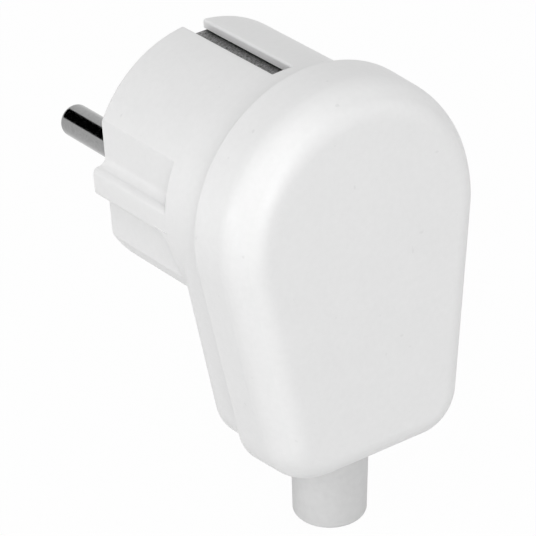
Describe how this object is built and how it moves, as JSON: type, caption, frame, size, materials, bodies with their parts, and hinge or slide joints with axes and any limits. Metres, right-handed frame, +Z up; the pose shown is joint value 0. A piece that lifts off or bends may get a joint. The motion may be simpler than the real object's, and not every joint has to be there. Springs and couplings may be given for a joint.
{
  "type": "type f plug",
  "caption": "Angled rewirable earthed mains plug with two round pins, side earth strips, a rounded back cover and a cord outlet pointing down.",
  "frame": {"origin": "centre of the flat engagement face, midway between the two pins", "axes": "+Y points out of the engagement face along the pins, +Z is up, the cord outlet points along -Z and +X is to the right for someone who looks along the pins from behind the plug"},
  "size_m": [0.0408, 0.0578, 0.0703],
  "materials": {
    "housing": "satin moulding",
    "inner_moulding": "satin moulding",
    "sleeve": "soft matt moulding",
    "nickel": "nickel plated",
    "zinc_steel": "zinc plated"
  },
  "bodies": {
    "root": {"plug_body": "housing", "rear_cover": "housing", "live_pin": "nickel", "live_wire_guard": "nickel", "live_terminal_screw": "zinc_steel", "neutral_pin": "nickel", "neutral_wire_guard": "nickel", "neutral_terminal_screw": "zinc_steel", "pin_retainer": "inner_moulding", "retainer_screw_left": "zinc_steel", "retainer_screw_right": "zinc_steel", "earth_bracket": "nickel", "earth_socket": "nickel", "earth_clamp_washer": "zinc_steel", "earth_terminal_screw": "zinc_steel", "centre_screw": "zinc_steel", "centre_nut": "zinc_steel", "cable_clamp": "inner_moulding", "clamp_screw_left": "zinc_steel", "clamp_screw_right": "zinc_steel", "bend_sleeve": "sleeve"}
  },
  "joints": []
}
